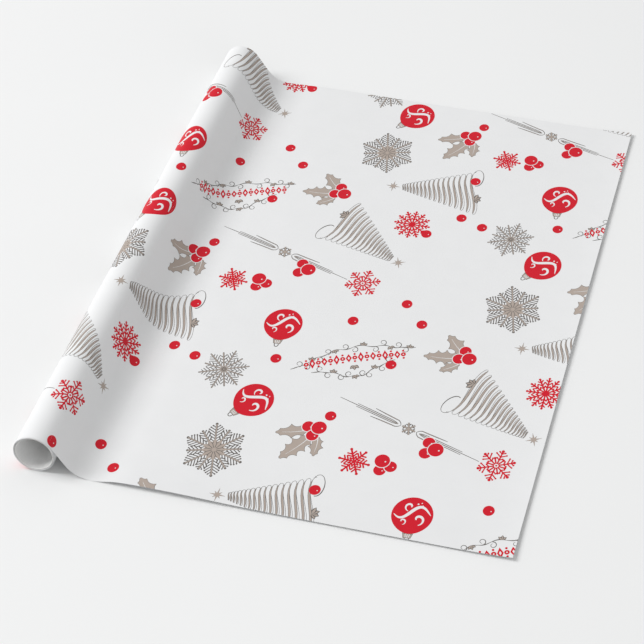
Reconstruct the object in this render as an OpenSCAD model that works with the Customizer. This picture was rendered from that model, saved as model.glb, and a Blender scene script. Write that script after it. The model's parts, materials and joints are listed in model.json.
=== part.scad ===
// Roll of printed gift wrapping paper, partly unrolled on a table.
// One long sheet is wound on a light three-ply board core. Its free length comes off the
// top of the roll, drops in a soft bend to the table and lies flat as far as the cut end.
// +Y runs along the roll, +X towards the cut end of the sheet, +Z up, and z = 0 is the table.

/* [Sheet] */
// Width of the sheet, which is also the length of the roll
sheet_w = 762; // [300:1:1000]
// Length of the whole sheet, wound part included
sheet_l = 1829; // [1200:1:3000]
// Thickness of the paper
paper_t = 0.10; // [0.08:0.01:0.15]
// Distance from the roll's axis to the cut end of the sheet
reach = 498; // [300:1:700]
// Length of the loose end that can be lifted off the table
flap_l = 90; // [60:1:150]

/* [Wound turns] */
// Radius of the wound turns, measured at the end of the outermost turn
coil_r = 22.3; // [22.2:0.1:40]
// Distance from one turn to the next
pitch = 0.15; // [0.15:0.01:0.16]
// Angle above level at which the sheet leaves the roll
leave_angle = 35; // [20:5:50]
// Length of the arc, in degrees, over which the leaving sheet still follows the roll
hug_angle = 10; // [5:5:30]
// Gap between the leaving sheet and the turns below it
lift_gap = 0.2; // [0.15:0.05:0.3]

/* [Bend] */
// Radius of the bend where the sheet reaches the table
foot_r = 33; // [20:1:40]

/* [Core] */
// Bore of the core
bore_d = 40; // [30:0.5:40]
// Number of board plies in the core
plies = 3; // [3:1:3]
// Thickness of one ply
ply_t = 0.2; // [0.15:0.01:0.2]

/* [Start tape] */
// Width of the tape that holds the sheet's inner end on the core, round the core
tape_w = 12; // [6:1:20]
// Thickness of the tape
tape_t = 0.05; // [0.03:0.01:0.06]
// Distance that the tape stops short of each end of the roll
tape_inset = 20; // [5:1:60]

/* [Hidden] */

step = 5;               // angle of one flat facet of the curved paper
step_foot = 2.5;        // angle of one facet of the bend at the table
round_fn = 96;          // facets drawn on the round parts

paper_white = [0.93, 0.935, 0.945];
shade_white = [0.89, 0.895, 0.905];
board_grey = [0.72, 0.71, 0.70];
board_pale = [0.80, 0.80, 0.79];
tape_clear = [0.86, 0.84, 0.76];

core_r = bore_d / 2 + plies * ply_t;

// The sheet's inner face on its way off the roll
leave_r = coil_r + lift_gap;

// Lowest point of the turns, half-way round from the top, sets the height of the axis
axis_z = turn_r(270 - leave_angle);
left_r = turn_r(180 - leave_angle);

// The roll's axis stands so that the origin is below the middle of the whole object
span = left_r + reach;
axis_x = left_r - span / 2;
axis = [axis_x, axis_z];

// Straight stretch between the roll and the bend at the table
drop_angle = 90 - leave_angle;
leave_point = axis + leave_r * [cos(leave_angle), sin(leave_angle)];
straight_l = (leave_point.y - foot_r * (1 - cos(drop_angle))) / sin(drop_angle);
foot_x = leave_point.x + straight_l * cos(drop_angle) + foot_r * sin(drop_angle);
end_x = axis_x + reach;
flap_x = end_x - flap_l;

// Paper that is off the roll, and the number of turns that hold the rest
out_l = (leave_r * hug_angle + foot_r * drop_angle) * PI / 180 + straight_l + end_x - foot_x;
mid_r = coil_r - paper_t / 2;
turns = (mid_r - sqrt(mid_r * mid_r - (sheet_l - out_l) * pitch / PI)) / pitch;
coil_angle = step * round(turns * 360 / step);

// Radius of the outer face of the wound turns, at an angle back from where the sheet leaves
function turn_r(back) = coil_r - pitch * back / 360;

// Point at an angle and radius about the roll's axis
function about_axis(angle, r) = axis + r * [cos(angle), sin(angle)];

// One face of the wound paper between two angles back from where the sheet leaves;
// depth is 0 for the outer face
function coil_face(from, to, depth) =
    [for (back = [from : step : to]) about_axis(leave_angle + back, turn_r(back) - depth)];

// One face of the paper between the roll and the table; height is 0 for the lower face
function rising_face(height) = concat(
    [for (a = [hug_angle : -step : 0]) about_axis(leave_angle + a, leave_r + height)],
    [for (a = [drop_angle : -step_foot : 0])
        [foot_x - (foot_r - height) * sin(a), foot_r - (foot_r - height) * cos(a)]]);

// One face of the tape, whose flat facets touch the core at their middles
function tape_face(height) =
    let (count = 12, arc = tape_w / core_r * 180 / PI, facet = arc / count,
         r = core_r / cos(facet / 2) + height)
    [for (i = [0 : count]) about_axis(leave_angle + coil_angle - arc + i * facet, r)];

function backwards(points) = [for (i = [len(points) - 1 : -1 : 0]) points[i]];

// A thin strip whose profile lies between two faces, running along the roll
module strip(face_a, face_b, width) {
    rotate([90, 0, 0])
        linear_extrude(height = width, center = true)
            polygon(concat(face_a, backwards(face_b)));
}

module tube(r_out, r_in, length) {
    rotate([90, 0, 0])
        difference() {
            cylinder(h = length, r = r_out, center = true, $fn = round_fn);
            cylinder(h = length + 2, r = r_in, center = true, $fn = round_fn);
        }
}

// Ply number 0 is the one round the bore
module core_ply(number) {
    r_in = bore_d / 2 + number * ply_t;
    translate([axis_x, 0, axis_z]) tube(r_in + ply_t, r_in, sheet_w);
}

module core_inner_ply() { color(board_pale) core_ply(0); }
module core_middle_ply() { color(board_grey) core_ply(1); }
module core_outer_ply() { color(board_grey) core_ply(2); }

// Narrow strip under the sheet's inner end, curved to the core
module start_tape() {
    color(tape_clear)
        strip(tape_face(0), tape_face(tape_t), sheet_w - 2 * tape_inset);
}

module inner_turns() {
    color(shade_white)
        strip(coil_face(360, coil_angle, 0), coil_face(360, coil_angle, paper_t), sheet_w);
}

module outer_turn() {
    color(paper_white) strip(coil_face(0, 360, 0), coil_face(0, 360, paper_t), sheet_w);
}

module rising_sheet() {
    color(shade_white) strip(rising_face(0), rising_face(paper_t), sheet_w);
}

module flat_sheet() {
    color(paper_white)
        translate([foot_x, -sheet_w / 2, 0]) cube([flap_x - foot_x, sheet_w, paper_t]);
}

module free_end() {
    color(paper_white)
        translate([flap_x, -sheet_w / 2, 0]) cube([flap_l, sheet_w, paper_t]);
}

core_inner_ply();
core_middle_ply();
core_outer_ply();
start_tape();
inner_turns();
outer_turn();
rising_sheet();
flat_sheet();
free_end();
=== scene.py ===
"""Printed wrapping paper roll, partly unrolled on a table: the visual model."""
import json
import math

import bpy
import numpy as np
from bpy.props import FloatProperty, FloatVectorProperty, IntProperty, PointerProperty
from mathutils import Matrix, Vector
from mathutils.geometry import delaunay_2d_cdt


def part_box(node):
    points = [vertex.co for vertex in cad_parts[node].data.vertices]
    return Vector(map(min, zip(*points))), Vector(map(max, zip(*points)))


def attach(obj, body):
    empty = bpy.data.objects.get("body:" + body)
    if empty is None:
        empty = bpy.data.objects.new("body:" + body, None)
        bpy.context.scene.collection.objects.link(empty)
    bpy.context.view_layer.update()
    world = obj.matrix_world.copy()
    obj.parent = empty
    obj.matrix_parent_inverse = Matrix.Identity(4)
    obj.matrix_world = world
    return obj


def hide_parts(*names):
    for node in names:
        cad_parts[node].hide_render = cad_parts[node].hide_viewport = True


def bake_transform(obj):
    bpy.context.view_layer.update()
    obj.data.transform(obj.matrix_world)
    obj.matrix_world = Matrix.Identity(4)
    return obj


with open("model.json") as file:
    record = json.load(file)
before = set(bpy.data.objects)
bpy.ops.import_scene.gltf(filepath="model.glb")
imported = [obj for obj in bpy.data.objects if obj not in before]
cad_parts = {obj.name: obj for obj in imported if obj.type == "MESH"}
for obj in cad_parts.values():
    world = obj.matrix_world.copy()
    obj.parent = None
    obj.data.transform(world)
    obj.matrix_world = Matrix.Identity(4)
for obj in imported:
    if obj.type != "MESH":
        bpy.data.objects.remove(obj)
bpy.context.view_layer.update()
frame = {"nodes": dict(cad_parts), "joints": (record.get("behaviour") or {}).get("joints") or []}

bl_info = {
    "name": "Wrapping paper roll",
    "version": (1, 0, 0),
    "blender": (4, 5, 0),
    "location": "3D View > Sidebar > Paper roll",
    "description": "Makes a printed roll of gift wrapping paper round its packed CAD frame",
    "category": "Object",
}

MM = 0.001
WELD = 1e-6                                 # points closer than this are one

# ---------------------------------------------------------------- places from the frame
ANCHOR = {joint["name"]: Vector(joint.get("pos_m", (0, 0, 0))) for joint in frame["joints"]}
AXIS = ANCHOR["roll_spin"]                  # the roll's axis, which runs along Y
FLAP_X = ANCHOR["end_lift"].x               # where the loose end starts
FLAT_LO, FLAT_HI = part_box("flat_sheet")
END_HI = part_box("free_end")[1]
TURN_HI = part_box("outer_turn")[1]
CORE_LO, CORE_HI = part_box("core_inner_ply")
PAPER = FLAT_HI.z - FLAT_LO.z               # thickness of the paper
FOOT_X = FLAT_LO.x                          # where the bend meets the table
HALF = FLAT_HI.y                            # half the width of the sheet

# The rules that the CAD frame's paper follows
LEAVE = math.radians(35)                    # where the sheet leaves the roll
HUG = math.radians(10)                      # arc over which it still follows the roll
FOOT_R = 33 * MM                            # bend at the table
PITCH = 0.15 * MM                           # one wound turn to the next
TURNS_BACK = math.radians(3540)             # angle of the whole winding
PLY = 0.2 * MM                              # one ply of the core
STEADY_TURNS = 1.1                          # turns from outside whose ends lie level
STRAIGHT_FROM = math.pi / 2 - LEAVE         # slope of the straight rise
COIL_R = TURN_HI.z - AXIS.z + PITCH * STRAIGHT_FROM / math.tau
LIFTED = 0.2 * MM                           # gap under the sheet where it leaves
TOUCHING = 0.02 * MM                        # gap under the sheet where it joins the turn
STOCK_LENGTH = 1829 * MM                    # the whole sheet before it was wound


# ---------------------------------------------------------------- settings
def number_field(label, text, default, unit="NONE"):
    return FloatProperty(name=label, description=text, unit=unit, default=default, precision=4)


def length_field(label, text, default):
    return number_field(label, text, default, "LENGTH")


def angle_field(label, text, default):
    return FloatProperty(name=label, description=text, subtype="ANGLE", unit="ROTATION",
                         default=default, precision=4)


def place_field(label, text, default):
    return FloatVectorProperty(name=label, description=text, unit="LENGTH", precision=5,
                               size=len(default), default=default)


def colour_field(label, text, default):
    return FloatVectorProperty(name=label, description=text, subtype="COLOR", size=3,
                               min=0, max=1, default=default)


def count_field(label, text, default, least):
    return IntProperty(name=label, description=text, default=default, min=least)


class PaperSettings(bpy.types.PropertyGroup):
    """Lie and finish of the paper"""
    white: colour_field("Paper", "Colour of the coated paper", (0.78, 0.785, 0.79))
    hump: length_field("Hump", "Height that the sheet still rises past the bend", 0.0022)
    hump_at: length_field("Hump place", "Distance of the hump from the bend", 0.062)
    hump_spread: length_field("Hump spread", "How far the hump reaches along the sheet", 0.085)
    curl: length_field("Edge curl", "Height of the near edge and the cut end", 0.0030)
    curl_far: length_field("Far edge curl", "Height of the far edge", 0.0006)
    curl_width: length_field("Curl width", "Distance over which a curled edge settles", 0.030)
    wander: length_field("Turn wander", "How far turns stand out at the roll's ends", 0.0005)


class PrintSettings(bpy.types.PropertyGroup):
    """Colours and repeat of the printed pattern"""
    red: colour_field("Red ink", "Colour of berries, baubles and red flakes", (0.60, 0.006, 0.02))
    taupe: colour_field("Taupe ink", "Colour of leaves, trees and large flakes",
                        (0.42, 0.355, 0.31))
    line: colour_field("Line ink", "Colour of hairlines and outlines", (0.135, 0.124, 0.116))
    repeat_a: place_field("Repeat A", "First step of the repeat, along and across",
                          (0.206, -0.258))
    repeat_b: place_field("Repeat B", "Second step of the repeat, along and across",
                          (0.254, 0.311))
    start: place_field("Repeat start", "Place of one repeat from the bend and near edge",
                       (0.0892, 0.420))
    stretch: number_field("Stretch", "How much the motifs are drawn out across the sheet", 1.25)
    reach: count_field("Reach", "Steps of the repeat to each side of its start", 6, 1)
    margin: place_field("Margin", "How far motifs stand from a repeat's start", (0.27, 0.33))
    lift: length_field("Ink lift", "Height of the ink film over the paper", 0.00005)


class CoreSettings(bpy.types.PropertyGroup):
    """The wound board core"""
    liner: colour_field("Liner", "Colour of the liner ply in the bore", (0.84, 0.84, 0.835))
    board: colour_field("Board", "Colour of the other plies", (0.60, 0.585, 0.565))
    tape: colour_field("Tape", "Colour of the start tape", (0.72, 0.68, 0.56))
    lead: length_field("Strip pitch", "Advance of a board strip in one turn", 0.096)
    seam: length_field("Seam", "Gap between neighbouring turns of a strip", 0.0005)
    stagger: angle_field("Stagger", "Turn between the starts of neighbouring plies", 2.1)
    facets: count_field("Facets", "Facets round the core", 96, 24)


class StageSettings(bpy.types.PropertyGroup):
    """Table, lights and camera"""
    table: colour_field("Table", "Colour of the pale table", (0.835, 0.84, 0.84))
    table_side: length_field("Table side", "Half the side of the table top", 30.0)
    table_drop: length_field("Table drop", "Depth of the table top under the sheet", 0.0001)
    sky: number_field("Room light", "Strength of the even light", 0.545)
    key: number_field("Key light", "Power of the soft key light", 735.0, "POWER")
    key_size: length_field("Key size", "Side of the square key light", 5.0)
    key_place: place_field("Key place", "Place of the key light", (-7.3, -0.9, 6.6))
    fill: number_field("Fill light", "Power of the low light in front", 48.0, "POWER")
    fill_size: length_field("Fill size", "Side of the square fill light", 3.0)
    fill_place: place_field("Fill place", "Place of the fill light", (4.0, -5.0, 1.6))
    lens: number_field("Lens", "Focal length of the camera in millimetres", 128.8)
    eye: place_field("Eye", "Place of the camera", (0.47588, -1.98591, 1.61538))
    aim: place_field("Aim", "Place that the camera looks at", (-0.015388, -0.07117, 0.0))
    lean: angle_field("Lean", "Turn of the camera about its own line of sight",
                      math.radians(0.5807))


SETTINGS = {"roll_paper": PaperSettings, "roll_print": PrintSettings,
            "roll_core": CoreSettings, "roll_stage": StageSettings}


# ---------------------------------------------------------------- node trees
class Varying:
    """A socket that varies; arithmetic on it adds Math nodes to its tree."""

    def __init__(self, plan, socket):
        self.plan, self.socket = plan, socket

    def __add__(self, other):
        return self.plan.maths("ADD", self, other)

    __radd__ = __add__

    def __mul__(self, other):
        return self.plan.maths("MULTIPLY", self, other)

    __rmul__ = __mul__

    def __sub__(self, other):
        return self.plan.maths("SUBTRACT", self, other)

    def __rsub__(self, other):
        return self.plan.maths("SUBTRACT", other, self)

    def __truediv__(self, other):
        return self.plan.maths("DIVIDE", self, other)

    def __gt__(self, other):
        return self.plan.maths("GREATER_THAN", self, other)

    def __lt__(self, other):
        return self.plan.maths("LESS_THAN", self, other)


class Plan:
    """A node tree being written: every node comes from add()."""

    def __init__(self, tree):
        self.tree = tree

    def add(self, kind, sockets=None, **settings):
        node = self.tree.nodes.new(kind)
        for name, value in settings.items():
            setattr(node, name, value)
        for key, value in (sockets or {}).items():
            for single in value if isinstance(value, list) else [value]:
                if isinstance(single, Varying):
                    self.tree.links.new(single.socket, node.inputs[key])
                else:
                    node.inputs[key].default_value = single
        return lambda key: Varying(self, node.outputs[key])

    def maths(self, operation, *values):
        return self.add("ShaderNodeMath", dict(enumerate(values)), operation=operation)(0)

    def blend_colour(self, factor, a, b):
        return self.add("ShaderNodeMix", {0: factor, 6: a, 7: b}, data_type="RGBA")(2)


def rule(title, values, write):
    """A Geometry Nodes tree with an input for each value, ending in Set Material."""
    tree = bpy.data.node_groups.new(title, "GeometryNodeTree")
    tree.interface.new_socket("Geometry", in_out="INPUT", socket_type="NodeSocketGeometry")
    for label, value in values.items():
        kind = "NodeSocketInt" if isinstance(value, int) else "NodeSocketFloat"
        tree.interface.new_socket(label, in_out="INPUT", socket_type=kind)
    tree.interface.new_socket("Finish", in_out="INPUT", socket_type="NodeSocketMaterial")
    tree.interface.new_socket("Geometry", in_out="OUTPUT", socket_type="NodeSocketGeometry")
    plan = Plan(tree)
    given = plan.add("NodeGroupInput")
    shape = write(plan, given)
    real = plan.add("GeometryNodeRealizeInstances", {"Geometry": shape})(0)
    done = plan.add("GeometryNodeSetMaterial", {"Geometry": real, "Material": given("Finish")})(0)
    plan.add("NodeGroupOutput", {0: done})
    return tree


def grow(name, title, write, values, finish, source=None):
    """The plain mesh object that a rule makes out of a source mesh."""
    tree = bpy.data.node_groups.get(title) or rule(title, values, write)
    piece = bpy.data.objects.new(name, source or bpy.data.meshes.new(name))
    bpy.context.scene.collection.objects.link(piece)
    modifier = piece.modifiers.new(name, "NODES")
    modifier.node_group = tree
    values = dict(values, Finish=finish)
    for item in tree.interface.items_tree:
        if item.in_out == "INPUT" and item.name in values:
            modifier[item.identifier] = values[item.name]
    bpy.context.view_layer.update()
    seen = piece.evaluated_get(bpy.context.evaluated_depsgraph_get())
    mesh = bpy.data.meshes.new_from_object(seen)
    piece.modifiers.remove(modifier)
    piece.data = mesh
    return piece


def walled(plan, given, face):
    """A closed thin wall: the face pushed away from the roll's axis, and itself as its back."""
    place = plan.add("ShaderNodeSeparateXYZ", {0: plan.add("GeometryNodeInputPosition")(0)})
    x, z = place("X") - given("Axis X"), place("Z") - given("Axis Z")
    far = plan.maths("SQRT", x * x + z * z)
    thick = given("Thickness")
    outward = plan.add("ShaderNodeCombineXYZ", {"X": x / far * thick, "Z": z / far * thick})(0)
    front = plan.add("GeometryNodeExtrudeMesh",
                     {"Mesh": face, "Offset": outward, "Offset Scale": 1.0,
                      "Individual": False}, mode="FACES")("Mesh")
    back = plan.add("GeometryNodeFlipFaces", {"Mesh": face})(0)
    both = plan.add("GeometryNodeJoinGeometry", {0: [back, front]})(0)
    return plan.add("GeometryNodeMergeByDistance", {"Geometry": both, "Distance": WELD})(0)


def strip(plan, given):
    """A strip two points wide, with each point's step along it and its side, 0 or 1."""
    grid = plan.add("GeometryNodeMeshGrid",
                    {"Size X": 1.0, "Size Y": 1.0, "Vertices X": given("Steps") + 1,
                     "Vertices Y": 2})(0)
    index = plan.add("GeometryNodeInputIndex")(0)
    number = plan.maths("FLOOR", index / 2)
    return grid, number, index - number * 2


def wound_at(plan, given, grid, radius, angle, y):
    """The strip with its points set round the roll's axis."""
    place = plan.add("ShaderNodeCombineXYZ", {
        "X": given("Axis X") + radius * plan.maths("COSINE", angle), "Y": y,
        "Z": given("Axis Z") + radius * plan.maths("SINE", angle)})(0)
    return plan.add("GeometryNodeSetPosition", {"Geometry": grid, "Position": place})(0)


def write_winding(plan, given):
    """Paper wound on a spiral, from its outermost end inwards."""
    grid, number, side = strip(plan, given)
    back = number * given("Step")
    angle = given("First angle") + back
    radius = given("Outer radius") - given("Thickness") - back * given("Pitch") / math.tau
    deep = plan.add("ShaderNodeClamp", {0: back / math.tau - STEADY_TURNS})(0)
    sway = plan.maths("SINE", back * 0.37) + plan.maths("SINE", back * 1.13 + 1)
    y = (side * 2 - 1) * given("Half width") + sway * deep * given("Wander")
    return walled(plan, given, wound_at(plan, given, grid, radius, angle, y))


def write_ply(plan, given):
    """A board strip wound on a helix and cut square at the ends of the core."""
    grid, number, side = strip(plan, given)
    back = number * given("Step")
    angle = given("First angle") + back
    lead, half = given("Lead"), given("Half width")
    run = back * lead / math.tau - half - lead + side * (lead - given("Seam"))
    y = plan.add("ShaderNodeClamp", {"Value": run, "Min": 0 - half, "Max": half})(0)
    face = plan.add("GeometryNodeMergeByDistance", {
        "Geometry": wound_at(plan, given, grid, given("Radius"), angle, y),
        "Distance": WELD})(0)
    return walled(plan, given, face)


def write_ring(plan, given):
    """Copies of one arm set round a centre."""
    count = given("Count")
    point = plan.add("GeometryNodeMeshLine", {"Count": count, "Offset": (0.0, 0.0, 0.0)})(0)
    turn = plan.add("GeometryNodeInputIndex")(0) * math.tau / count
    spin = plan.add("ShaderNodeCombineXYZ", {"Z": turn})(0)
    return plan.add("GeometryNodeInstanceOnPoints",
                    {"Points": point, "Instance": given("Geometry"),
                     "Rotation": plan.add("FunctionNodeEulerToRotation", {0: spin})(0)})(0)


def write_repeat(plan, given):
    """One repeat of the print set out on its slanting lattice, where the window needs it."""
    reach = given("Reach")
    count = reach * 2 + 1
    grid = plan.add("GeometryNodeMeshGrid",
                    {"Size X": 1.0, "Size Y": 1.0, "Vertices X": count,
                     "Vertices Y": count})(0)
    index = plan.add("GeometryNodeInputIndex")(0)
    column = plan.maths("FLOOR", index / count)
    a, b = column - reach, index - column * count - reach
    x = given("Start along") + a * given("A along") + b * given("B along")
    y = given("Start across") + a * given("A across") + b * given("B across")
    place = plan.add("ShaderNodeCombineXYZ", {"X": x, "Y": y})(0)
    wanted = ((x > given("Low along")) * (x < given("High along"))
              * (y > given("Low across")) * (y < given("High across")))
    grid = plan.add("GeometryNodeSetPosition", {"Geometry": grid, "Position": place})(0)
    grid = plan.add("GeometryNodeDeleteGeometry", {"Geometry": grid, "Selection": 1 - wanted},
                    domain="POINT")(0)
    return plan.add("GeometryNodeInstanceOnPoints",
                    {"Points": grid, "Instance": given("Geometry")})(0)


# ---------------------------------------------------------------- finishes
def finish_material(name, colour, write):
    """A material whose shader is written by one of the functions below."""
    material = bpy.data.materials.new(name)
    material.use_nodes = True
    material.node_tree.nodes.clear()
    plan = Plan(material.node_tree)
    place = plan.add("ShaderNodeTexCoord")("Object")
    plan.add("ShaderNodeOutputMaterial", {0: write(plan, place, colour)})
    return material


def noise(plan, place, scale, detail=2.0, roughness=0.5, stretch=(1.0, 1.0, 1.0)):
    spread = plan.add("ShaderNodeMapping", {"Vector": place, "Scale": stretch})(0)
    return plan.add("ShaderNodeTexNoise", {
        "Vector": spread, "Scale": scale, "Detail": detail, "Roughness": roughness})(0)


def shade(colour, factor):
    return (*[c * factor for c in colour], 1.0)


def surface(plan, base, roughness, height, depth, **fixed):
    """Principled shader with a bump; fixed values go on its sockets as they are."""
    bump = plan.add("ShaderNodeBump", {"Strength": 1.0, "Distance": depth, "Height": height})(0)
    sockets = {"Base Color": base, "Roughness": roughness, "Normal": bump}
    sockets.update({key.replace("_", " "): value for key, value in fixed.items()})
    return plan.add("ShaderNodeBsdfPrincipled", sockets)(0)


def coated_paper(plan, place, colour):
    cloud = noise(plan, place, 38.0, 3.0)
    fibre = noise(plan, place, 900.0, 3.0, 0.6)
    base = plan.blend_colour(cloud * 0.6 + fibre * 0.4, shade(colour, 0.965),
                             shade(colour, 1.03))
    return surface(plan, base, 0.5 + 0.12 * cloud - 0.06 * fibre,
                   cloud * 0.25 + fibre * 0.75, 4e-5,
                   Specular_IOR_Level=0.4)


def printed_ink(plan, place, colour):
    cloud = noise(plan, place, 60.0, 2.0)
    grain = noise(plan, place, 1600.0, 2.0, 0.7)
    base = plan.blend_colour(cloud * 0.5 + grain * 0.5, shade(colour, 0.9),
                             shade(colour, 1.1))
    return surface(plan, base, 0.42 + 0.14 * grain, cloud * 0.3 + grain * 0.7, 3e-5,
                   Specular_IOR_Level=0.22)


def grey_board(plan, place, colour):
    fibre = noise(plan, place, 420.0, 4.0, 0.65, (1.0, 0.35, 1.0))
    fleck = noise(plan, place, 1500.0, 2.0, 0.5)
    cloud = noise(plan, place, 22.0, 2.0)
    tone = fibre * 0.5 + cloud * 0.3 + fleck * 0.2
    base = plan.blend_colour(tone, shade(colour, 0.8), shade(colour, 1.18))
    return surface(plan, base, 0.72 + 0.2 * fibre, fibre * 0.7 + fleck * 0.3, 1.2e-4)


def clear_tape(plan, place, colour):
    ripple = noise(plan, place, 260.0, 2.0, 0.5, (1.0, 0.1, 1.0))
    base = plan.blend_colour(ripple, shade(colour, 0.92), shade(colour, 1.06))
    return surface(plan, base, 0.22 + 0.16 * ripple, ripple, 3e-5)


def table_top(plan, place, colour):
    cloud = noise(plan, place, 3.0, 3.0)
    grain = noise(plan, place, 300.0, 2.0)
    base = plan.blend_colour(cloud, shade(colour, 0.985), shade(colour, 1.01))
    return surface(plan, base, 0.62 + 0.1 * cloud, grain, 2e-5, Specular_IOR_Level=0.3)


FINISHES = {}


def make_finishes(scene):
    for name, colour, write in (
            ("wrap_paper", scene.roll_paper.white, coated_paper),
            ("ink_red", scene.roll_print.red, printed_ink),
            ("ink_taupe", scene.roll_print.taupe, printed_ink),
            ("ink_line", scene.roll_print.line, printed_ink),
            ("core_liner", scene.roll_core.liner, grey_board),
            ("core_board", scene.roll_core.board, grey_board),
            ("tape", scene.roll_core.tape, clear_tape)):
        FINISHES[name] = finish_material(name, tuple(colour), write)


# ---------------------------------------------------------------- meshes
SHARP_FROM = math.radians(40)               # an edge that bends more than this is sharp


def smooth_with_edges(mesh):
    mesh.polygons.foreach_set("use_smooth", np.ones(len(mesh.polygons), bool))
    mesh.set_sharp_from_angle(angle=SHARP_FROM)


def mesh_piece(name, points, faces, finish):
    mesh = bpy.data.meshes.new(name)
    mesh.from_pydata(np.asarray(points).tolist(), [], np.asarray(faces).tolist())
    mesh.materials.append(finish)
    mesh.validate()
    smooth_with_edges(mesh)
    piece = bpy.data.objects.new(name, mesh)
    bpy.context.scene.collection.objects.link(piece)
    return piece


def values_of(items, field, kind, width=1):
    """One field of every item, as an array."""
    values = np.empty(len(items) * width, kind)
    items.foreach_get(field, values)
    return values


def face_outwards(piece):
    """Turns a closed mesh the right way out, by the sign of its volume."""
    mesh = piece.data
    mesh.calc_loop_triangles()
    points = values_of(mesh.vertices, "co", float, 3).reshape(-1, 3)
    corners = values_of(mesh.loop_triangles, "vertices", int, 3)
    a, b, c = points[corners].reshape(-1, 3, 3).transpose(1, 0, 2)
    if np.einsum("ij,ij->i", a, np.cross(b, c)).sum() < 0:
        mesh.flip_normals()
    smooth_with_edges(mesh)


def solid_sheet(name, top, normal, thickness, finish):
    """A closed thin sheet under a grid of points of its upper face."""
    rows, columns = top.shape[:2]
    points = np.concatenate([top.reshape(-1, 3), (top - normal * thickness).reshape(-1, 3)])
    index = np.arange(rows * columns).reshape(rows, columns)
    a, b, c, d = index[:-1, :-1], index[1:, :-1], index[1:, 1:], index[:-1, 1:]
    upper = np.stack([a, b, c, d], -1).reshape(-1, 4)
    rim = np.concatenate([index[:, 0], index[-1, 1:], index[-2::-1, -1], index[0, -2:0:-1]])
    rim_next = np.roll(rim, -1)
    low = rows * columns
    walls = np.stack([rim_next, rim, rim + low, rim_next + low], -1)
    faces = np.concatenate([upper, upper[:, ::-1] + low, walls])
    return mesh_piece(name, points, faces, finish)


# ---------------------------------------------------------------- the lie of the sheet
LEAVE_R = COIL_R + LIFTED
LEAVE_POINT = np.array([AXIS.x + LEAVE_R * math.cos(LEAVE), AXIS.z + LEAVE_R * math.sin(LEAVE)])
STRAIGHT = (LEAVE_POINT[1] - FOOT_R * (1 - math.cos(STRAIGHT_FROM))) / math.sin(STRAIGHT_FROM)
BEND = FOOT_R * STRAIGHT_FROM
RISE = BEND + STRAIGHT + LEAVE_R * HUG      # paper between the foot and the roll
SPLIT = FLAP_X - FOOT_X                     # where the loose end starts, from the foot
FLAT_END = END_HI.x - FOOT_X


def profile(s):
    """Lower face of the sheet at a distance from the foot: x, z."""
    if s >= 0:
        return FOOT_X + s, 0.0
    if s >= -BEND:
        a = -s / FOOT_R
        return FOOT_X - FOOT_R * math.sin(a), FOOT_R * (1 - math.cos(a))
    if s >= -BEND - STRAIGHT:
        along = (-s - BEND) / STRAIGHT
        foot = profile(-BEND)
        return tuple(np.array(foot) * (1 - along) + LEAVE_POINT * along)
    a = (-s - BEND - STRAIGHT) / LEAVE_R
    ease = (1 - math.cos(math.pi * min(a / HUG, 1))) / 2
    r = LEAVE_R - (LIFTED - TOUCHING) * ease
    return AXIS.x + r * math.cos(LEAVE + a), AXIS.z + r * math.sin(LEAVE + a)


def settle(value, span):
    """Runs smoothly from 0 at 0 to 1 at span."""
    t = np.clip(value / span, 0, 1)
    return t * t * (3 - 2 * t)


# Lengths that shape the lie of the flat sheet, from the foot of its bend
START_SPAN = 45 * MM                        # hump and ripples grow over this
EDGE_SPAN = 28 * MM                         # the near edge starts to lift over this
EDGE_FULL, EDGE_FADE = 60 * MM, 420 * MM    # it is full up to here, and how it fades
RIPPLE, RIPPLE_STEP, RIPPLE_FADE = 0.45 * MM, 13 * MM, 90 * MM
WAVE, WAVE_FROM, WAVE_SPAN = 0.25 * MM, 50 * MM, 100 * MM


def lie(s, across, paper):
    """Height of the flat sheet above the table; across is from the near edge."""
    width = 2 * HALF
    start = settle(s, START_SPAN)
    near = 1 - across / width
    hump = np.exp(-((s - paper.hump_at) / paper.hump_spread) ** 2) * (0.3 + 0.7 * near ** 1.5)
    ripple = RIPPLE * np.exp(-s / RIPPLE_FADE) * (1 + np.sin(s / RIPPLE_STEP + across * 3))
    ease = settle(s, EDGE_SPAN) * np.exp(-np.clip(s - EDGE_FULL, 0, None) / EDGE_FADE)
    near_curl = paper.curl * np.exp(-across / paper.curl_width) * ease
    far_curl = paper.curl_far * np.exp(-(width - across) / paper.curl_width) * start
    end_curl = paper.curl * np.exp(-(FLAT_END - s) / paper.curl_width)
    wave = WAVE * (1 + np.sin(s * 21 + across * 9 + 1)) * settle(s - WAVE_FROM, WAVE_SPAN)
    return start * (paper.hump * hump + ripple * 0.5) + near_curl + far_curl + end_curl + wave


EDGE_BAND = 70 * MM                         # the lines lie closer within this of an edge


def across_lines():
    """Lines across the sheet, closest together at its two edges."""
    edge = EDGE_BAND * np.linspace(0, 1, 10) ** 1.7
    middle = np.linspace(EDGE_BAND, 2 * HALF - EDGE_BAND, 18)[1:-1]
    return np.concatenate([edge, middle, 2 * HALF - edge[::-1]])


def free_lines():
    """Lines along the free sheet, close together where it bends; and the split's place."""
    hug = np.linspace(-RISE, -BEND - STRAIGHT, 6)[:-1]
    drop = np.linspace(-BEND - STRAIGHT, -BEND, 5)[:-1]
    bend = np.linspace(-BEND, 0, 23)[:-1]
    flat = np.linspace(0, SPLIT, 46)
    loose = np.linspace(SPLIT, FLAT_END, 31)[1:]
    lines = np.concatenate([hug, drop, bend, flat, loose])
    return lines, len(lines) - len(loose) - 1


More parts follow.
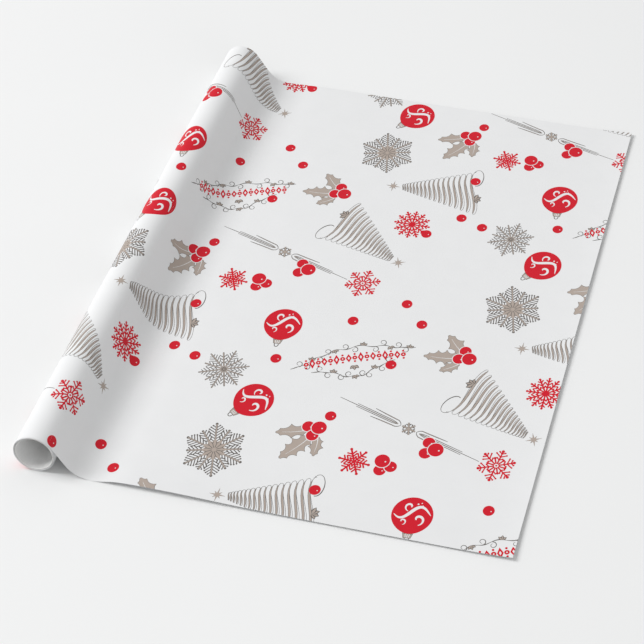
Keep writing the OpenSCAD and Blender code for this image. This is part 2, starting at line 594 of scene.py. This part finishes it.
def free_face(paper):
    """Upper face of the free sheet on its lines: points and normals."""
    lines, split = free_lines()
    across = across_lines()
    low = np.array([profile(s) for s in lines])
    s, v = np.meshgrid(lines, across, indexing="ij")
    place = np.empty((*s.shape, 3))
    place[..., 0], place[..., 1] = low[:, None, 0], v - HALF
    place[..., 2] = low[:, None, 1] + np.where(s > 0, lie(s, v, paper), 0)
    along = np.gradient(place, lines, axis=0)
    side = np.gradient(place, across, axis=1)
    normal = np.cross(along, side)
    normal /= np.linalg.norm(normal, axis=-1, keepdims=True)
    return lines, across, place + normal * PAPER, normal, split


COIL_STEP = math.radians(2.5)
COIL_FROM = LEAVE + HUG                     # where the free sheet takes over


def coil_radius(back):
    """Outer face of the wound paper, at an angle back from where the CAD winding ends."""
    return COIL_R - PITCH * (back + HUG) / math.tau


def coil_face(steps):
    """Upper face of the outermost turn, in order towards the free sheet."""
    back = np.arange(steps, -1, -1) * COIL_STEP
    angle = COIL_FROM + back
    r = coil_radius(back)
    across = across_lines()
    ray = np.stack([np.cos(angle), np.zeros_like(angle), np.sin(angle)], -1)
    centre = np.array([AXIS.x, 0, AXIS.z])
    place = np.repeat((centre + ray * r[:, None])[:, None], len(across), 1)
    place[..., 1] = across - HALF
    normal = np.repeat(ray[:, None], len(across), 1)
    run = np.concatenate([[0], np.cumsum(r[:0:-1] * COIL_STEP)])
    return -RISE - run[::-1], across, place, normal


# ---------------------------------------------------------------- drawing the print
# Shapes are drawn in millimetres as (outline, ink), later ones on top. Bare is no ink.
BARE, RED, TAUPE, LINE = range(4)
DRAWN_AS_ONE = 1e-4                         # drawn corners closer than this are one


def about(turn, x, y, rx, ry=None):
    """Points about a centre, at the angles of turn."""
    return np.stack([x + rx * np.cos(turn), y + (rx if ry is None else ry) * np.sin(turn)], -1)


def disc(x, y, r, ink, sides):
    return [(about(np.arange(sides) * math.tau / sides, x, y, r), ink)]


def stroke(path, width, ink):
    """A pen line of varying width, as one quad for each step."""
    path = np.asarray(path, float)
    way = np.gradient(path, axis=0)
    way /= np.maximum(np.linalg.norm(way, axis=1, keepdims=True), 1e-9)
    half = np.broadcast_to(width, len(path))[:, None] / 2
    side = np.stack([-way[:, 1], way[:, 0]], -1) * half
    left, right = path + side, path - side
    return [(np.array([right[i], right[i + 1], left[i + 1], left[i]]), ink)
            for i in range(len(path) - 1)]


def outlined(path, width):
    """A taupe stroke with a thin dark rim; a very thin one is all rim."""
    rim = 0.42
    width = np.broadcast_to(width, len(path))
    core = np.maximum(width - rim, 0)
    shapes = stroke(path, width + rim, LINE)
    return shapes + stroke(path, core, TAUPE) if core.max() > 0.3 else shapes


def line(x0, y0, x1, y1, steps=1):
    t = np.linspace(0, 1, steps + 1)[:, None]
    return np.array([[x0, y0]]) * (1 - t) + np.array([[x1, y1]]) * t


def turned(shapes, degrees, at=(0.0, 0.0)):
    a = math.radians(degrees)
    spin = np.array([[math.cos(a), math.sin(a)], [-math.sin(a), math.cos(a)]])
    return [(outline @ spin + at, ink) for outline, ink in shapes]


def drawn_mesh(shapes):
    """The shapes as loose faces of a flat mesh, each with its ink number."""
    mesh = bpy.data.meshes.new("drawing")
    points = np.concatenate([outline for outline, ink in shapes])
    faces, first = [], 0
    for outline, ink in shapes:
        faces.append(range(first, first + len(outline)))
        first += len(outline)
    mesh.from_pydata(np.column_stack([points, np.zeros(len(points))]).tolist(), [],
                     [list(face) for face in faces])
    inks = mesh.attributes.new("ink", "INT", "FACE")
    inks.data.foreach_set("value", [ink for outline, ink in shapes])
    return mesh


def ring(arm, count):
    """Copies of an arm round a centre, outlines first."""
    piece = grow("ring", "Ring of arms", write_ring, {"Count": count}, FINISHES["ink_red"],
                 drawn_mesh(arm))
    mesh = piece.data
    inks = values_of(mesh.attributes["ink"].data, "value", int)
    shapes = [(np.array([mesh.vertices[v].co[:2] for v in face.vertices]), int(ink))
              for face, ink in zip(mesh.polygons, inks)]
    bpy.data.objects.remove(piece)
    return sorted(shapes, key=lambda shape: shape[1] != LINE)


def flake_arm(r, barbs, pen, ink, knob=0.0, slant=60):
    """One arm of a snowflake; its barbs are (place, length) in parts of r."""
    a = math.radians(slant)
    if ink == TAUPE:
        arm, fine, thin = outlined(line(0, 0, r, 0), pen), LINE, 0.7
    else:
        arm, fine, thin = stroke(line(0, 0, r, 0), pen, ink), ink, 0.85
    for place, length in barbs:
        for side in (1, -1):
            tip = (r * (place + length * math.cos(a)), side * r * length * math.sin(a))
            arm += stroke(line(r * place, 0, *tip), pen * thin, fine)
            if knob:
                arm += disc(*tip, knob * 0.6, fine, 8)
    if knob:
        arm += disc(r, 0, knob, fine, 10)
    return arm


def flake(arm, count, centre=0.0):
    """A snowflake: its arm set round a centre, with an open heart of that radius."""
    shapes = ring(arm, count)
    if centre:
        shapes += disc(0, 0, centre, BARE, 12) + disc(0, 0, centre * 0.45, RED, 10)
    return shapes


def hub(inner, outer):
    """The solid middle of a taupe flake, with a spike for each arm."""
    turn = np.arange(24) * math.tau / 24
    reach = np.tile([outer, inner], 12)
    shapes = [(about(turn, 0, 0, reach), TAUPE)]
    mark = stroke(line(0.25 * inner, 0, 0.8 * inner, 0), 0.7, LINE)
    for side in (0.13, -0.13):
        mark += stroke(line(0.8 * inner, 0, inner, side * inner), 0.6, LINE)
    for k in range(12):
        shapes += turned(mark, k * 30 + 15)
    return shapes


def berry(x, y, r, keyline=0.9):
    shine = disc(x + 0.42 * r, y - 0.05 * r, 0.11 * r, BARE, 8)
    return disc(x, y, r + keyline, BARE, 26) + disc(x, y, r, RED, 26) + shine


def berries(lean, spread=66, big=7.9, small=6.5):
    """Three berries; the two small ones lie beside the big one at angle lean and after."""
    shapes = []
    for angle in (lean, lean + spread):
        a = math.radians(angle)
        shapes += berry(11.5 * math.cos(a), 11.5 * math.sin(a), small)
    return shapes + berry(0, 0, big)


def holly_leaf(tip, width, spikes, root):
    """A holly leaf from its root to its tip, with hollow scallops between its spikes."""
    run = np.subtract(tip, root)
    length = float(np.hypot(*run))
    ends = np.concatenate([[0.0], 0.2 + 0.66 * np.arange(spikes) / (spikes - 1), [1.0]])
    side = []
    for k in range(len(ends) - 1):
        for f in np.linspace(0, 1, 7)[1 if k else 0:]:
            t = ends[k] + (ends[k + 1] - ends[k]) * f
            envelope = width * (0.10 + 0.95 * math.sin(math.pi * min(t, 0.999) ** 0.85) ** 0.8)
            side.append((t * length, envelope * (1 - 0.42 * math.sin(math.pi * f) ** 0.7)))
    side[-1] = (length, 0.0)
    outline = np.array(side + [(x, -y) for x, y in side[-2::-1]])
    rim = (outline - (length / 2, 0)) * (1 + 1.0 / length, 1 + 0.7 / width) + (length / 2, 0)
    rib = np.stack([np.linspace(0.04, 0.82, 7) * length,
                    0.03 * length * np.sin(np.linspace(0, 3, 7))], -1)
    shapes = [(rim, LINE), (outline, TAUPE)] + stroke(rib, np.linspace(0.9, 0.3, 7), BARE)
    return turned(shapes, math.degrees(math.atan2(run[1], run[0])), root)


def bauble(cap):
    """A bauble with bare swirls; cap is the way that its cap points, in degrees."""
    r = 21.0
    turn = np.linspace(0, math.tau, 48, endpoint=False)
    swell = r * (1 + 0.07 * np.clip(np.cos(turn), 0, 1) ** 6)
    shapes = stroke(about(np.linspace(0, math.tau, 15), 28.8, 0, 3.1, 2.2), 0.9, LINE)
    collar = np.array([(21.5, -5.0), (27.5, -3.4), (27.5, 3.4), (21.5, 5.0)])
    shapes += [((collar - (24, 0)) * 1.12 + (24, 0), LINE), (collar, TAUPE)]
    for y in (-2.2, 0.0, 2.2):
        shapes += stroke(line(23.0, y, 27.0, y * 0.7), 0.8, BARE)
    for y in (-2.4, 0.0, 2.4):
        shapes += disc(21.6, y * 1.25, 1.5, LINE, 8) + disc(21.2, y * 1.25, 1.1, BARE, 8)
    shapes += [(about(turn, 0, 0, swell), RED)]
    t = np.linspace(0, 1, 26)
    # one wave, three coils and three beads, all left bare
    wave = np.stack([-3 + 7.5 * np.sin(t * math.tau * 0.95 + 0.5), -18.6 + 37 * t], -1)
    shapes += stroke(wave, 0.6 + 3.0 * np.sin(math.pi * t) ** 0.8, BARE)
    for lean, x, y, size in ((1, 4.5, 6.5, 1.0), (-1, -9.5, -4.0, 0.8), (1, 8.5, -8.5, 0.6)):
        a = np.linspace(0.2, 5.2, 24)
        coil = about(lean * a, x, y, size * (7.2 - 1.15 * a))
        shapes += stroke(coil, size * (0.5 + 2.3 * np.sin(np.linspace(0.15, 3.0, 24))), BARE)
    for x, y, dot in ((-13.5, 3.5, 1.0), (-15.0, 7.0, 0.7), (-12.0, 8.5, 0.7)):
        shapes += disc(x, y, dot, BARE, 8)
    return turned(shapes, cap)


def star(r):
    turn = np.arange(16) * math.tau / 16
    reach = r * np.tile([1.0, 0.28, 0.66, 0.28], 4)
    outline = about(turn, 0, 0, reach)
    return [(outline * 1.07, LINE), (outline, TAUPE)]


def scroll(x, y, r, lean, start):
    """A small curl that tightens towards its middle."""
    a = np.linspace(0, math.tau, 16)
    path = about(start + lean * a, x, y, r * (1 - 0.6 * a / a[-1]))
    return stroke(path, 0.9 * (1.1 - 0.7 * a / a[-1]), LINE)


def fir(length, half_base, swings=17):
    """A tree drawn with one swinging pen line, from its tip at 0 to its wide base."""
    steps = 26
    t = np.linspace(0, swings, swings * steps + 1)
    part = t / swings
    run = length * (0.34 * part + 0.66 * part ** 1.7)
    gap = np.gradient(run, t)
    reach = half_base * (0.12 + 0.88 * (run / length) ** 0.95)
    swing, lean = np.cos(t * math.tau), np.sin(t * math.tau)
    x = run + 0.42 * gap * np.sign(lean) * np.abs(lean) ** 0.45
    x += reach * (0.20 * swing ** 3 - 0.36 * swing)
    path = np.stack([x, reach * swing], -1)
    shapes = stroke(path, 0.42, LINE)
    for k in range(swings):
        low, high = int((k + 0.55) * steps), int((k + 0.95) * steps) + 1
        down, wide = path[low:high], gap[low:high]
        fat = 0.31 * wide * np.sin(np.linspace(0, math.pi, len(down))) ** 0.7
        shapes += stroke(down, fat + 0.6, LINE)
        shapes += stroke(down, np.maximum(fat - 0.25, 0.02), TAUPE)
    # the pen's last round: a wide loop beside the base, and a sprig under it
    end_x, end_y = path[-1]
    a = np.linspace(-0.9, 3.3, 28)
    loop = np.stack([end_x + 3.0 + 7.0 * np.sin(a), end_y - 10.0 + 13.0 * np.cos(a)], -1)
    shapes += stroke(loop, 0.5 + 0.6 * np.sin(a / 1.5) ** 2, LINE)
    for angle in (-60, -20, 25, 70):
        shapes += turned(leaflet(8.0), angle, (length - 0.5, -half_base * 0.25))
    return shapes


def leaflet(length):
    t = np.linspace(0, 1, 6)
    bulge = 0.28 * length * np.sin(math.pi * t ** 0.8)
    outline = np.concatenate([np.stack([t * length, bulge], -1),
                              np.stack([t * length, -bulge], -1)[-2:0:-1]])
    return [(outline * (1.0, 1.15), LINE), (outline * (0.9, 0.6), TAUPE)]


def spindle():
    """A long slender ornament: two tapering sprays of loops either side of a small flake."""
    half = []
    tip = 85.0
    t = np.linspace(0, 1, 22)
    for start, end, near, far, pen in ((9.5, 44, 4.2, 5.6, 0.7), (13, 64, 1.7, 1.9, 0.3)):
        for side in (1, -1):
            y = side * (near * np.minimum(t * 7, 1) ** 0.5 + (far - near) * t ** 1.6)
            path = np.stack([start + (end - start) * t, y], -1)
            half += outlined(path, 0.1 + pen * np.sin(math.pi * t ** 0.8) ** 0.8)
    half += outlined(line(13, 0, tip, 0, 16), np.linspace(0.9, 0.1, 17))
    middle = flake(flake_arm(7.8, ((0.55, 0.40),), 1.7, TAUPE), 6)
    return half + turned(half, 180) + middle


def garland(points, lean):
    """A thin vine through points, with curls and small leaves on alternate sides."""
    points = np.array(points, float)
    t = np.linspace(0, len(points) - 1, 14 * (len(points) - 1) + 1)
    x = np.interp(t, range(len(points)), points[:, 0])
    smooth = np.convolve(np.pad(np.interp(t, range(len(points)), points[:, 1]), 6, "edge"),
                         np.ones(13) / 13, "valid")
    y = smooth + 1.5 * np.sin(t * math.tau * 0.75) * np.sin(math.pi * t / t[-1])
    path = np.stack([x, y], -1)
    shapes = stroke(path, 0.95 * (0.55 + 0.6 * np.sin(t * math.tau * 0.75) ** 2), LINE)
    for k in range(7, len(path) - 5, 7):
        side = 1 if (k // 7) % 2 else -1
        px, py = path[k]
        if (k // 7) % 3:
            shapes += scroll(px + 1.5, py + side * 3.9, 4.0, side * lean, -side * math.pi / 2)
        else:
            for angle in (20, 75, 130):
                shapes += turned(leaflet(5.2), side * angle, (px, py))
    return shapes


def banner():
    """A frame of two vines with a plain row of lozenges and beads between them."""
    shapes = garland([(-68, -8), (-52, -3), (-38, 5), (-20, 11), (0, 14), (22, 13), (40, 9),
                      (54, 5), (67, 4)], 1)
    shapes += garland([(-46, -15), (-30, -16), (-16, -22), (0, -28), (14, -23), (28, -15),
                       (44, -9)], -1)
    for angle in (-140, -90, -40):
        shapes += turned(leaflet(6.5), angle, (0.0, -11.5))
    for k in range(-8, 9):
        x, y = k * 6.5 + 1, -3.5 + 2.6 * math.cos(k / 8 * 1.6)
        if k % 2:
            tall = 6.8 if k % 4 == 1 else 5.6
            lozenge = np.array([(-3.3, 0), (0, -tall), (3.3, 0), (0, tall)])
            shapes += [(lozenge + (x, y), RED), (lozenge * 0.40 + (x, y), BARE)]
        else:
            shapes += disc(x, y, 2.7, RED, 16) + disc(x, y, 0.9, BARE, 8)
            for dy in (-4.9, 4.9):
                shapes += disc(x, y + dy, 1.3, RED, 8)
    return shapes


def stretched(shapes, stretch, at):
    return [(outline * (1.0, stretch) + at, ink) for outline, ink in shapes]


def repeat_shapes(stretch):
    """One repeat of the print. Places are millimetres along and across from its start."""
    dot, tree = berry(0, 0, 6.0, 0.0), fir(88.5, 35)
    flake_small = flake(flake_arm(
        15.7, ((0.20, 0.24), (0.40, 0.34), (0.60, 0.32)), 2.0, RED, 1.6), 6)
    flake_round = flake(flake_arm(
        20, ((0.36, 0.18), (0.55, 0.24), (0.76, 0.18)), 1.8, RED, 1.4, 46), 12)
    flake_bold = flake(flake_arm(
        18.6, ((0.40, 0.20), (0.60, 0.36), (0.82, 0.20)), 1.6, RED, 1.7, 56)
        + turned(flake_arm(9.5, (), 1.6, RED, 1.5), 30), 6, 2.4)
    flake_lace = flake(flake_arm(
        26.4, ((0.24, 0.16), (0.38, 0.24), (0.52, 0.27), (0.66, 0.22), (0.80, 0.14)),
        1.3, TAUPE, 0.8, 50)
        + turned(flake_arm(22.5, ((0.36, 0.17), (0.54, 0.24), (0.72, 0.22)),
                           1.3, TAUPE, 0.8, 48), 30), 6) + hub(3.5, 6.5)
    flake_dense = flake(flake_arm(
        32.4, ((0.30, 0.18), (0.41, 0.24), (0.52, 0.28), (0.63, 0.28), (0.74, 0.22),
               (0.85, 0.14)), 1.5, TAUPE, 1.6, 52)
        + turned(flake_arm(27.0, ((0.44, 0.20), (0.58, 0.26), (0.72, 0.26), (0.86, 0.16)),
                           1.5, TAUPE, 1.4, 48), 30), 6) + hub(10.0, 14.0)
    holly_a = (holly_leaf((-42, -15), 8.4, 3, (-9, -5)) + holly_leaf((-28, -45), 10.4, 4, (-4, -11))
               + holly_leaf((5, -35), 7.4, 3, (3, -12)) + berries(184))
    holly_b = (holly_leaf((-30, 27), 9.4, 3, (-6, 4)) + holly_leaf((-49, -6), 9.4, 4, (-8, -1))
               + holly_leaf((-27, -22), 7.0, 3, (-9, -9)) + berries(125))
    placed = [
        ((0, 0), turned(spindle(), -16.5)),
        ((34.5, -24.5), berries(142, 72, 8.2, 6.6)),
        ((-43, -64), turned(flake_small, -4)),
        ((-15, -55.5), berries(-87, 60)),
        ((-84, 98), turned(banner(), 20.4)),
        ((-42, 96), dot),
        ((128.8, 91.5), flake_round),
        ((149, 78), dot),
        ((100, -32), turned(flake_bold, 21)),
        ((33, -126), bauble(-86)),
        ((-169, 1), bauble(-127)),
        ((-8, -218), turned(flake_lace, 21)),
        ((-187, -86), turned(flake_dense, 105)),
        ((-91, -23), holly_a),
        ((-84, -2), dot),
        ((38, 128), holly_b),
        ((101, 161), turned(tree, 5.4)),
        ((90, 160), star(8.2)),
        ((183, 195), dot), ((182, 119), dot),
        ((121, 21), turned(tree, 148.9)),
        ((130, 16), turned(star(8.2), 20)),
        ((-45, -204), dot), ((41, -185), dot), ((157, -55), dot),
        ((181, -86), dot), ((106, -100), dot),
    ]
    shapes = []
    for at, motif in placed:
        shapes += stretched(motif, stretch, at)
    return shapes


def inside(spots, outline):
    """Which spots lie inside an outline."""
    x, y = spots[:, :1], spots[:, 1:]
    x0, y0 = outline.T
    x1, y1 = np.roll(outline, -1, 0).T
    level = np.where(y1 == y0, 1, y1 - y0)
    meets = ((y0 > y) != (y1 > y)) & (x < x0 + (y - y0) * (x1 - x0) / level)
    return meets.sum(1) % 2 == 1


def flattened(shapes):
    """Overlapping shapes as one layer of triangles, each with the ink that lies on top."""
    points, edges = [], []
    for outline, ink in shapes:
        first, count = len(points), len(outline)
        points += [Vector(p) for p in outline]
        edges += [(first + k, first + (k + 1) % count) for k in range(count)]
    corners, _, triangles = delaunay_2d_cdt(points, edges, [], 0, DRAWN_AS_ONE, False)[:3]
    corners = np.array([tuple(c) for c in corners])[np.array(triangles)]
    middle = corners.mean(1)
    order = np.argsort(middle[:, 0])
    corners, middle = corners[order], middle[order]
    top = np.zeros(len(corners), int)
    for outline, ink in shapes:
        low, high = outline.min(0), outline.max(0)
        span = slice(*np.searchsorted(middle[:, 0], (low[0], high[0])))
        near = (middle[span, 1] > low[1]) & (middle[span, 1] < high[1])
        near[near] = inside(middle[span][near], outline)
        top[span][near] = ink
    return corners[top != BARE], top[top != BARE]


# ---------------------------------------------------------------- laying the print on the paper
ON_LINE = 1e-7                              # a corner this near a line is on it


def cut_at(triangles, inks, axis, lines):
    """Splits flat triangles at each of the lines, which run across the axis."""
    done, done_inks = [], []
    for place in lines:
        depth = triangles[:, :, axis] - place
        depth[np.abs(depth) < ON_LINE] = 0.0
        below = depth.max(1) <= 0
        done.append(triangles[below])
        done_inks.append(inks[below])
        above = depth.min(1) >= 0
        crossing = ~(below | above)
        part, side, part_inks = triangles[crossing], np.sign(depth[crossing]), inks[crossing]
        rest, rest_inks = [triangles[above & ~below]], [inks[above & ~below]]
        if len(part):
            # turn each triangle so that its first corner is the one alone on its side
            touching = (side == 0).any(1)
            lone = np.where(touching, np.argmax(side == 0, 1),
                            np.argmax(side == -np.sign(side.sum(1))[:, None], 1))
            order = (lone[:, None] + np.arange(3)) % 3
            row = np.arange(len(part))[:, None]
            part, side = part[row, order], side[row, order]
            gap = part[:, :, axis] - place
            # a corner on the line: one new point, on the edge facing it
            one, g, ink = part[touching], gap[touching], part_inks[touching]
            middle = one[:, 1] + (one[:, 2] - one[:, 1]) * (
                g[:, 1] / (g[:, 1] - g[:, 2]))[:, None]
            pieces = [(np.stack([one[:, 0], one[:, 1], middle], 1), g[:, 1], ink),
                      (np.stack([one[:, 0], middle, one[:, 2]], 1), g[:, 2], ink)]
            # a corner alone on its side: two new points
            one, g, ink = part[~touching], gap[~touching], part_inks[~touching]
            p = one[:, 0] + (one[:, 1] - one[:, 0]) * (g[:, 0] / (g[:, 0] - g[:, 1]))[:, None]
            q = one[:, 0] + (one[:, 2] - one[:, 0]) * (g[:, 0] / (g[:, 0] - g[:, 2]))[:, None]
            pieces += [(np.stack([one[:, 0], p, q], 1), g[:, 0], ink),
                       (np.stack([p, one[:, 1], one[:, 2]], 1), g[:, 1], ink),
                       (np.stack([p, one[:, 2], q], 1), g[:, 1], ink)]
            for shape, where, ink in pieces:
                done.append(shape[where < 0])
                done_inks.append(ink[where < 0])
                rest.append(shape[where >= 0])
                rest_inks.append(ink[where >= 0])
        triangles, inks = np.concatenate(rest), np.concatenate(rest_inks)
    return np.concatenate(done + [triangles]), np.concatenate(done_inks + [inks])


def laid_ink(name, triangles, lines, across, place, normal, lift, finish):
    """Flat triangles laid on a face that is given on its lines, as one thin film."""
    flat = triangles.reshape(-1, 2)
    keys, corner = np.unique(np.round(flat / WELD).astype(np.int64), axis=0,
                             return_inverse=True)
    spot = keys * WELD
    i = np.clip(np.searchsorted(lines, spot[:, 0]) - 1, 0, len(lines) - 2)
    j = np.clip(np.searchsorted(across, spot[:, 1]) - 1, 0, len(across) - 2)
    a = np.clip((spot[:, 0] - lines[i]) / (lines[i + 1] - lines[i]), 0, 1)[:, None]
    b = np.clip((spot[:, 1] - across[j]) / (across[j + 1] - across[j]), 0, 1)[:, None]

    def between(field):
        return ((field[i, j] * (1 - a) + field[i + 1, j] * a) * (1 - b)
                + (field[i, j + 1] * (1 - a) + field[i + 1, j + 1] * a) * b)

    points = between(place) + between(normal) * lift
    faces = corner.reshape(-1, 3)
    whole = ((faces[:, 0] != faces[:, 1]) & (faces[:, 1] != faces[:, 2])
             & (faces[:, 2] != faces[:, 0]))
    return mesh_piece(name, points, faces[whole], finish)


def follow_free(piece, part):
    """Bakes the piece's placement into its mesh; the sheet and its loose end are handled alike."""
    if part == "sheet":
        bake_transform(piece)
    else:
        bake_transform(piece)


class ROLL_OT_core(bpy.types.Operator):
    """Wind the three board plies of the core and finish the start tape"""
    bl_idname = "paper_roll.core"
    bl_label = "Core"

    def execute(self, context):
        core = context.scene.roll_core
        half = CORE_HI.y
        bore = (CORE_HI.x - CORE_LO.x) / 2 - PLY
        turns = (2 * half + core.lead) / core.lead
        for number, node in enumerate(("core_inner_ply", "core_middle_ply", "core_outer_ply")):
            finish = "core_liner" if number == 0 else "core_board"
            piece = grow(node.replace("core_", "board_"), "Wound board strip", write_ply, {
                "Steps": math.ceil(turns * core.facets), "Step": math.tau / core.facets,
                "First angle": core.stagger * number, "Radius": bore + number * PLY,
                "Lead": core.lead, "Seam": core.seam, "Half width": half,
                "Thickness": PLY, "Axis X": AXIS.x, "Axis Z": AXIS.z}, FINISHES[finish])
            face_outwards(piece)
            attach(piece, "roll")
            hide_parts(node)
        tape = frame["nodes"]["start_tape"]
        tape.data.materials.clear()
        tape.data.materials.append(FINISHES["tape"])
        return {"FINISHED"}


class ROLL_OT_winding(bpy.types.Operator):
    """Wind the rolled-up length of the sheet on the core"""
    bl_idname = "paper_roll.winding"
    bl_label = "Wound turns"

    def execute(self, context):
        paper = context.scene.roll_paper
        piece = grow("paper_wound", "Wound paper", write_winding, {
            "Steps": int((TURNS_BACK - HUG) / COIL_STEP), "Step": COIL_STEP,
            "First angle": COIL_FROM, "Outer radius": coil_radius(0), "Pitch": PITCH,
            "Half width": HALF, "Thickness": PAPER, "Wander": paper.wander,
            "Axis X": AXIS.x, "Axis Z": AXIS.z}, FINISHES["wrap_paper"])
        face_outwards(piece)
        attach(piece, "roll")
        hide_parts("inner_turns", "outer_turn")
        return {"FINISHED"}


class ROLL_OT_free_sheet(bpy.types.Operator):
    """Lay the free length of the sheet from the roll to its cut end"""
    bl_idname = "paper_roll.free_sheet"
    bl_label = "Free sheet"

    def execute(self, context):
        place, normal, split = free_face(context.scene.roll_paper)[2:]
        for part, cut, nodes in (("sheet", slice(0, split + 1), ("rising_sheet", "flat_sheet")),
                                 ("loose_end", slice(split, None), ("free_end",))):
            piece = solid_sheet("paper_" + part, place[cut], normal[cut], PAPER,
                                FINISHES["wrap_paper"])
            follow_free(piece, part)
            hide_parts(*nodes)
        return {"FINISHED"}


class ROLL_OT_print(bpy.types.Operator):
    """Print the festive pattern on the free sheet and the outermost turn"""
    bl_idname = "paper_roll.print"
    bl_label = "Print"

    def execute(self, context):
        ink = context.scene.roll_print
        triangles, inks = flattened(repeat_shapes(ink.stretch))
        drawing = [(corners * MM, number) for corners, number in zip(triangles, inks)]
        turn_steps = int(round(math.tau / COIL_STEP))
        wound = coil_face(turn_steps)
        lines, across, place, normal, split = free_face(context.scene.roll_paper)
        spread = grow("spread_print", "Print repeat", write_repeat, {
            "Reach": ink.reach, "Start along": ink.start[0], "Start across": ink.start[1],
            "A along": ink.repeat_a[0], "A across": ink.repeat_a[1],
            "B along": ink.repeat_b[0], "B across": ink.repeat_b[1],
            "Low along": wound[0][0] - ink.margin[0], "High along": FLAT_END + ink.margin[0],
            "Low across": -ink.margin[1], "High across": 2 * HALF + ink.margin[1]},
            FINISHES["ink_red"], drawn_mesh(drawing))
        mesh = spread.data
        corners = values_of(mesh.vertices, "co", float, 3).reshape(-1, 3)
        order = values_of(mesh.loops, "vertex_index", int)
        inks = values_of(mesh.attributes["ink"].data, "value", int)
        triangles = corners[order].reshape(-1, 3, 3)[:, :, :2]
        bpy.data.objects.remove(spread)
        for part, face in (
                ("roll", wound),
                ("sheet", (lines[:split + 1], across, place[:split + 1], normal[:split + 1])),
                ("loose_end", (lines[split:], across, place[split:], normal[split:]))):
            self.lay(part, triangles, inks, face, ink.lift)
        return {"FINISHED"}

    def lay(self, part, triangles, inks, face, lift):
        """Cuts the print to one part of the sheet and lays each ink on it."""
        low, high = np.array([face[0][0], face[1][0]]), np.array([face[0][-1], face[1][-1]])
        near = ((triangles.max(1) > low) & (triangles.min(1) < high)).all(1)
        part_triangles, part_inks = triangles[near], inks[near]
        for axis in (0, 1):
            part_triangles, part_inks = cut_at(part_triangles, part_inks, axis, face[axis])
        middle = part_triangles.mean(1)
        within = ((middle > low) & (middle < high)).all(1)
        part_triangles, part_inks = part_triangles[within], part_inks[within]
        for number, name in ((RED, "red"), (TAUPE, "taupe"), (LINE, "line")):
            piece = laid_ink(f"print_{name}_{part}", part_triangles[part_inks == number],
                             *face, lift, FINISHES["ink_" + name])
            if part == "roll":
                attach(piece, "roll")
            else:
                follow_free(piece, part)


class ROLL_OT_stage(bpy.types.Operator):
    """Set the pale table, the soft light and the camera"""
    bl_idname = "paper_roll.stage"
    bl_label = "Table, light and camera"

    def execute(self, context):
        stage = context.scene.roll_stage
        side, low = stage.table_side, -stage.table_drop
        table = mesh_piece("table", [(-side, -side, low), (side, -side, low),
                                     (side, side, low), (-side, side, low)],
                           [(0, 1, 2, 3)],
                           finish_material("table", tuple(stage.table), table_top))
        world = bpy.data.worlds.new("Room")
        world.use_nodes = True
        sky = world.node_tree.nodes["Background"].inputs
        sky["Color"].default_value = (1.0, 1.0, 1.0, 1.0)
        sky["Strength"].default_value = stage.sky
        context.scene.world = world
        for name, power, size, place in (
                ("Key", stage.key, stage.key_size, stage.key_place),
                ("Fill", stage.fill, stage.fill_size, stage.fill_place)):
            lamp = bpy.data.lights.new(name, "AREA")
            lamp.energy, lamp.size = power, size
            light = bpy.data.objects.new(name, lamp)
            light.location = place
            light.rotation_euler = Vector(place).to_track_quat("Z", "Y").to_euler()
            context.scene.collection.objects.link(light)
        context.scene.view_settings.view_transform = "Standard"

        lens = bpy.data.cameras.new("Camera")
        lens.lens, lens.sensor_width = stage.lens, 36.0
        lens.clip_start, lens.clip_end = 0.05, 100.0
        camera = bpy.data.objects.new("Camera", lens)
        eye = Vector(stage.eye)
        turn = (Vector(stage.aim) - eye).to_track_quat("-Z", "Y").to_matrix()
        roll = Matrix.Rotation(stage.lean, 3, "Z")
        camera.matrix_world = Matrix.Translation(eye) @ (turn @ roll).to_4x4()
        context.scene.collection.objects.link(camera)
        context.scene.camera = camera
        return {"FINISHED"}


class ROLL_PT_panel(bpy.types.Panel):
    """Pieces of the wrapping paper roll"""
    bl_idname = "ROLL_PT_panel"
    bl_label = "Wrapping paper roll"
    bl_space_type = "VIEW_3D"
    bl_region_type = "UI"
    bl_category = "Paper roll"

    def draw(self, context):
        for name, group in SETTINGS.items():
            box = self.layout.box()
            box.label(text=group.__doc__)
            for field in group.__annotations__:
                box.prop(getattr(context.scene, name), field)
        for operator in OPERATORS:
            self.layout.operator(operator.bl_idname)


OPERATORS = (ROLL_OT_core, ROLL_OT_winding, ROLL_OT_free_sheet, ROLL_OT_print, ROLL_OT_stage)
CLASSES = (*SETTINGS.values(), *OPERATORS, ROLL_PT_panel)


def register():
    for made in CLASSES:
        bpy.utils.register_class(made)
    for name, group in SETTINGS.items():
        setattr(bpy.types.Scene, name, PointerProperty(type=group))


def unregister():
    for name in SETTINGS:
        delattr(bpy.types.Scene, name)
    for made in reversed(CLASSES):
        bpy.utils.unregister_class(made)


def declare_sheets():
    """Works out the lengths of the loose end, the free sheet and the wound rest, and keeps none of
    them.
    """
    loose = FLAT_END - SPLIT
    free = RISE + SPLIT
    STOCK_LENGTH - free - loose


def main():
    register()
    make_finishes(bpy.context.scene)
    bpy.ops.paper_roll.core()
    bpy.ops.paper_roll.winding()
    bpy.ops.paper_roll.free_sheet()
    bpy.ops.paper_roll.print()
    bpy.ops.paper_roll.stage()
    declare_sheets()


if __name__ == "__main__":
    main()
